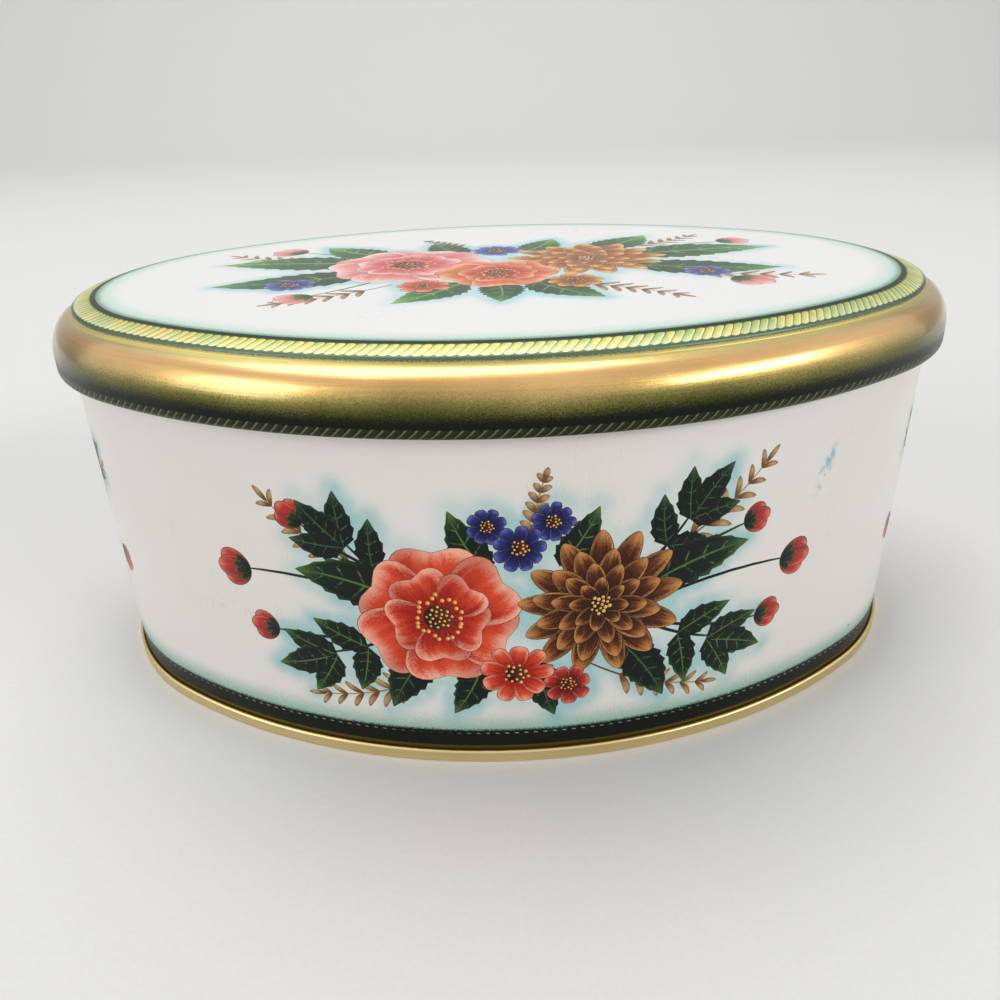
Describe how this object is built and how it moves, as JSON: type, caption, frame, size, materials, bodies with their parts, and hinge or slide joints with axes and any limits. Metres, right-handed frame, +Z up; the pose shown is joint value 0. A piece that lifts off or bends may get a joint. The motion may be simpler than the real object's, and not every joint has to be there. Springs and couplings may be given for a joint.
{
  "type": "oval tin box",
  "caption": "Oval tinplate storage box with a seamed foot, a rolled top edge and a lift-off lid with a round gilt shoulder and a printed flower spray.",
  "frame": {"origin": "centre of the tin's outline on the plane it stands on", "axes": "+X along the long axis of the oval, to the right as pictured; +Y to the back, where the side seam is; +Z up, the way the lid lifts"},
  "size_m": [0.2166, 0.1536, 0.0933],
  "materials": {
    "printed_wall": "printed and varnished tinplate, satin",
    "gilt_base": "gold-lacquered tinplate, satin gloss",
    "printed_lid": "printed and gold-lacquered tinplate, satin gloss"
  },
  "bodies": {
    "box": {"body_wall": "printed_wall", "base": "gilt_base"},
    "lid": {"lid": "printed_lid"}
  },
  "joints": [
    {"name": "lid_lift", "type": "slide", "parent": "box", "child": "lid", "axis": [0, 0, 1], "range_m": [0, 0.1]}
  ]
}
